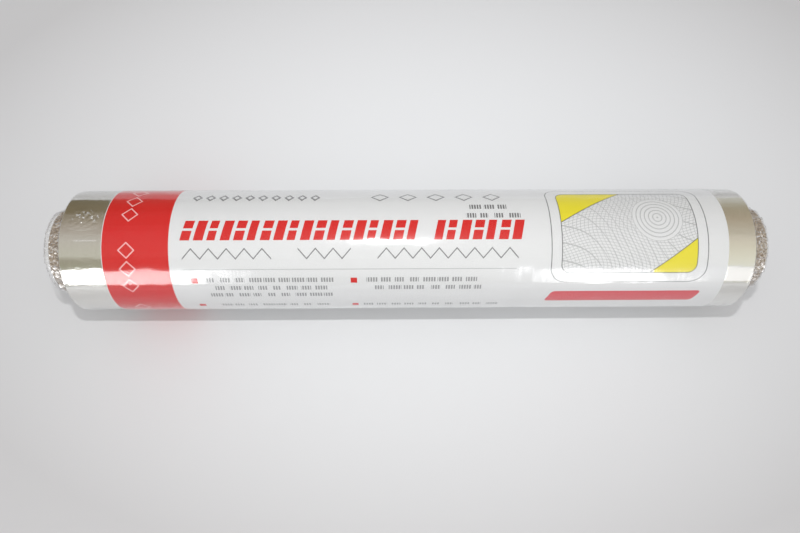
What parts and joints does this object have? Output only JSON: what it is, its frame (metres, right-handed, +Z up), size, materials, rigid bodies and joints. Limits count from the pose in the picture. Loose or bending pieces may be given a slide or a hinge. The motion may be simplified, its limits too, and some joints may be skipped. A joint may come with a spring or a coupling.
{
  "type": "aluminium foil roll",
  "caption": "Catering roll of aluminium foil on a cardboard tube, with a printed paper band and a clear shrink film drawn in round the tube's ends.",
  "frame": {"origin": "on the surface the roll rests on, under the middle of the cardboard tube", "axes": "+X along the roll towards the end with the narrower strip of bare foil, +Z up; the printed side faces up and a little towards -Y"},
  "size_m": [0.3222, 0.056, 0.0558],
  "materials": {
    "cardboard": "matt grey-brown spiral-wound board",
    "foil": "bright rolled foil",
    "label_paper": "coated white paper with a red band and fields of print",
    "clear_film": "clear glossy shrink film"
  },
  "bodies": {
    "root": {"core_tube": "cardboard", "foil_roll": "foil", "label_sleeve": "label_paper", "shrink_film": "clear_film"}
  },
  "joints": []
}
